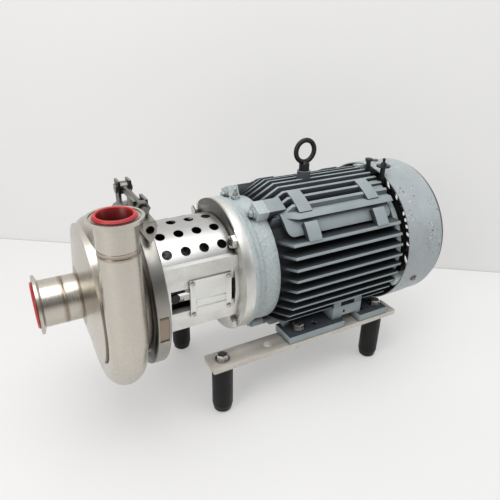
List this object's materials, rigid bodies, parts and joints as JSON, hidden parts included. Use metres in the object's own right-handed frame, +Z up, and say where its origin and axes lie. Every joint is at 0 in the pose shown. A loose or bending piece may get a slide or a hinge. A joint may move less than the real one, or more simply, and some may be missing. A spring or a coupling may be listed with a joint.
{
  "type": "sanitary centrifugal pump",
  "caption": "Close-coupled stainless centrifugal pump with clamp ferrule ports, a clamped volute, a guarded adapter and a finned foot-mounted motor on legged rails.",
  "frame": {"origin": "centre of the suction ferrule's face, on the shaft axis", "axes": "+X along the shaft from the suction port towards the motor, +Z up, discharge port on the -Y side pointing up"},
  "size_m": [0.5056, 0.2804, 0.3096],
  "materials": {
    "casing_steel": "satin stainless steel, brushed along the tube",
    "cast_stainless": "blasted cast stainless steel",
    "clamp_stainless": "cast stainless steel, satin with dark recesses",
    "guard_sheet": "bright rolled sheet",
    "cover_plate": "bright stamped plate",
    "bolt_steel": "stainless fasteners",
    "zinc_steel": "zinc plated fasteners",
    "black_steel": "black forged steel",
    "shaft_steel": "ground steel",
    "bearing_steel": "ground bearing steel",
    "core_steel": "stacked laminations",
    "winding_copper": "varnished copper",
    "seal_ceramic": "ground ceramic",
    "seal_carbon": "carbon",
    "gasket_rubber": "matte black rubber",
    "red_plastic": "soft red plastic",
    "motor_paint": "blue grey enamel over rough casting",
    "bell_paint": "grey enamel brushed over rough casting",
    "cowl_paint": "smooth grey enamel on sheet, chipped in places",
    "dark_cap": "dark cap",
    "fan_plastic": "black plastic",
    "rail_steel": "worn flat bar",
    "leg_rubber": "black sleeve over steel"
  },
  "bodies": {
    "pump": {"pump_casing": "casing_steel", "suction_ferrule": "casing_steel", "discharge_ferrule": "casing_steel", "casing_gasket": "gasket_rubber", "backplate": "casing_steel", "seal_seat": "seal_ceramic", "seal_gland": "cast_stainless", "flush_caps": "bolt_steel", "clamp_far_half": "clamp_stainless", "clamp_hinge_pin": "bolt_steel", "clamp_bolt_pin": "bolt_steel", "adapter": "cast_stainless", "face_bolts": "bolt_steel", "guard": "guard_sheet", "side_cover_near": "cover_plate", "side_cover_far": "cover_plate", "side_cover_screws": "bolt_steel", "front_bell": "bell_paint", "bell_bolts": "bell_paint", "motor_frame": "motor_paint", "stator": "core_steel", "windings": "winding_copper", "front_bearing": "bearing_steel", "rear_bearing": "bearing_steel", "rear_bell": "bell_paint", "fan_cover": "cowl_paint", "fan_cover_screws": "zinc_steel", "eye_bolt": "black_steel", "front_grease_fitting": "zinc_steel", "rear_grease_fitting": "zinc_steel", "rear_relief_plug": "dark_cap", "conduit_box": "motor_paint", "conduit_gasket": "gasket_rubber", "rail_near": "rail_steel", "rail_far": "rail_steel", "leg_front_near": "leg_rubber", "leg_front_far": "leg_rubber", "leg_rear_near": "leg_rubber", "leg_rear_far": "leg_rubber", "foot_bolts": "zinc_steel", "foot_nuts": "zinc_steel", "leg_bolts": "zinc_steel"},
    "rotating_parts": {"motor_shaft": "shaft_steel", "shaft_key": "shaft_steel", "rotor": "core_steel", "fan": "fan_plastic", "stub_shaft": "shaft_steel", "impeller": "casing_steel", "impeller_nut": "casing_steel", "seal_ring": "seal_carbon", "seal_spring": "shaft_steel", "seal_collar": "shaft_steel"},
    "clamp_swing_bolt": {"clamp_bolt": "bolt_steel"},
    "clamp_bolt_nut": {"clamp_nut": "bolt_steel"},
    "clamp_opening_half": {"clamp_near_half": "clamp_stainless"},
    "suction_port_plug": {"suction_plug": "red_plastic"},
    "discharge_port_plug": {"discharge_plug": "red_plastic"},
    "conduit_cover": {"conduit_lid": "motor_paint", "conduit_screws": "zinc_steel"}
  },
  "joints": [
    {"name": "shaft_spin", "type": "hinge", "parent": "pump", "child": "rotating_parts", "pos_m": [0, 0, 0], "axis": [1, 0, 0], "continuous": true},
    {"name": "bolt_swing", "type": "hinge", "parent": "pump", "child": "clamp_swing_bolt", "pos_m": [0.1085, 0.02, 0.108], "axis": [-1, 0, 0], "range_deg": [0, 120]},
    {"name": "nut_loosen", "type": "slide", "parent": "clamp_swing_bolt", "child": "clamp_bolt_nut", "axis": [0, -1, 0], "range_m": [0, 0.005]},
    {"name": "clamp_open", "type": "hinge", "parent": "pump", "child": "clamp_opening_half", "pos_m": [0.1085, 0, -0.1], "axis": [1, 0, 0], "range_deg": [0, 20]},
    {"name": "suction_plug_pull", "type": "slide", "parent": "pump", "child": "suction_port_plug", "axis": [-1, 0, 0], "range_m": [0, 0.05]},
    {"name": "discharge_plug_pull", "type": "slide", "parent": "pump", "child": "discharge_port_plug", "axis": [0, 0, 1], "range_m": [0, 0.05]},
    {"name": "conduit_cover_off", "type": "slide", "parent": "pump", "child": "conduit_cover", "axis": [0, 1, 0], "range_m": [0, 0.06]}
  ],
  "couplings": [
    {"joint": "clamp_open", "follows": "bolt_swing", "ratio": 0.16667}
  ]
}
